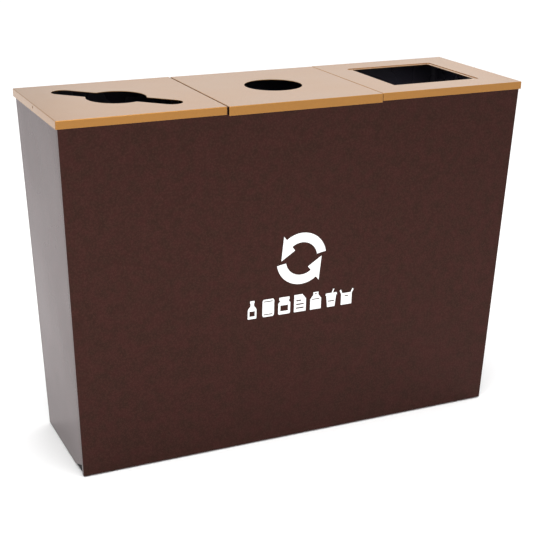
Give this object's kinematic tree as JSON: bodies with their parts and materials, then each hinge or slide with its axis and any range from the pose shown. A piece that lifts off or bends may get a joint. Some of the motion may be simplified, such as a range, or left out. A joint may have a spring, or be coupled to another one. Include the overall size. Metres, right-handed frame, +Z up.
{
  "type": "recycling bin station",
  "caption": "Tapered sheet-steel recycling bin station with lift-off lids of different openings over lift-out plastic liners.",
  "frame": {"origin": "on the floor, under the middle of the station", "axes": "+X along the width to the right seen from the front, +Y to the back, +Z up"},
  "size_m": [1.034, 0.3386, 0.762],
  "materials": {
    "hammered_brown": "dark brown hammered powder coat, semi-gloss",
    "bronze": "smooth satin metallic bronze powder coat",
    "black_liner": "glossy moulded plastic",
    "black_rubber": "matte rubber",
    "zinc": "zinc plated",
    "white_vinyl": "satin white film"
  },
  "bodies": {
    "station_body": {"front_panel": "hammered_brown", "back_panel": "hammered_brown", "left_side_panel": "hammered_brown", "right_side_panel": "hammered_brown", "floor_plate": "hammered_brown", "front_bearer": "hammered_brown", "back_bearer": "hammered_brown", "left_end_bearer": "hammered_brown", "right_end_bearer": "hammered_brown", "left_middle_bearer": "hammered_brown", "right_middle_bearer": "hammered_brown", "left_cross_rail": "hammered_brown", "right_cross_rail": "hammered_brown", "front_left_glide": "black_rubber", "front_left_glide_screw": "zinc", "front_left_glide_nut": "zinc", "front_right_glide": "black_rubber", "front_right_glide_screw": "zinc", "front_right_glide_nut": "zinc", "back_left_glide": "black_rubber", "back_left_glide_screw": "zinc", "back_left_glide_nut": "zinc", "back_right_glide": "black_rubber", "back_right_glide_screw": "zinc", "back_right_glide_nut": "zinc", "front_left_corner_pad": "black_rubber", "front_right_corner_pad": "black_rubber", "emblem_arrow_upper": "white_vinyl", "emblem_arrow_lower": "white_vinyl", "pictogram_bottle": "white_vinyl", "pictogram_can": "white_vinyl", "pictogram_jar": "white_vinyl", "pictogram_paper": "white_vinyl", "pictogram_carton": "white_vinyl", "pictogram_cup": "white_vinyl", "pictogram_box": "white_vinyl"},
    "left_lid": {"left_lid": "bronze"},
    "centre_lid": {"centre_lid": "bronze"},
    "right_lid": {"right_lid": "bronze"},
    "left_liner": {"left_liner": "black_liner"},
    "centre_liner": {"centre_liner": "black_liner"},
    "right_liner": {"right_liner": "black_liner"}
  },
  "joints": [
    {"name": "left_lid_lift", "type": "slide", "parent": "station_body", "child": "left_lid", "axis": [0, 0, 1], "range_m": [0, 0.95]},
    {"name": "left_liner_lift", "type": "slide", "parent": "station_body", "child": "left_liner", "axis": [0, 0, 1], "range_m": [0, 0.76]},
    {"name": "centre_lid_lift", "type": "slide", "parent": "station_body", "child": "centre_lid", "axis": [0, 0, 1], "range_m": [0, 0.95]},
    {"name": "centre_liner_lift", "type": "slide", "parent": "station_body", "child": "centre_liner", "axis": [0, 0, 1], "range_m": [0, 0.76]},
    {"name": "right_lid_lift", "type": "slide", "parent": "station_body", "child": "right_lid", "axis": [0, 0, 1], "range_m": [0, 0.95]},
    {"name": "right_liner_lift", "type": "slide", "parent": "station_body", "child": "right_liner", "axis": [0, 0, 1], "range_m": [0, 0.76]}
  ],
  "couplings": [
    {"joint": "left_liner_lift", "follows": "left_lid_lift", "ratio": 0.8},
    {"joint": "centre_liner_lift", "follows": "centre_lid_lift", "ratio": 0.8},
    {"joint": "right_liner_lift", "follows": "right_lid_lift", "ratio": 0.8}
  ]
}
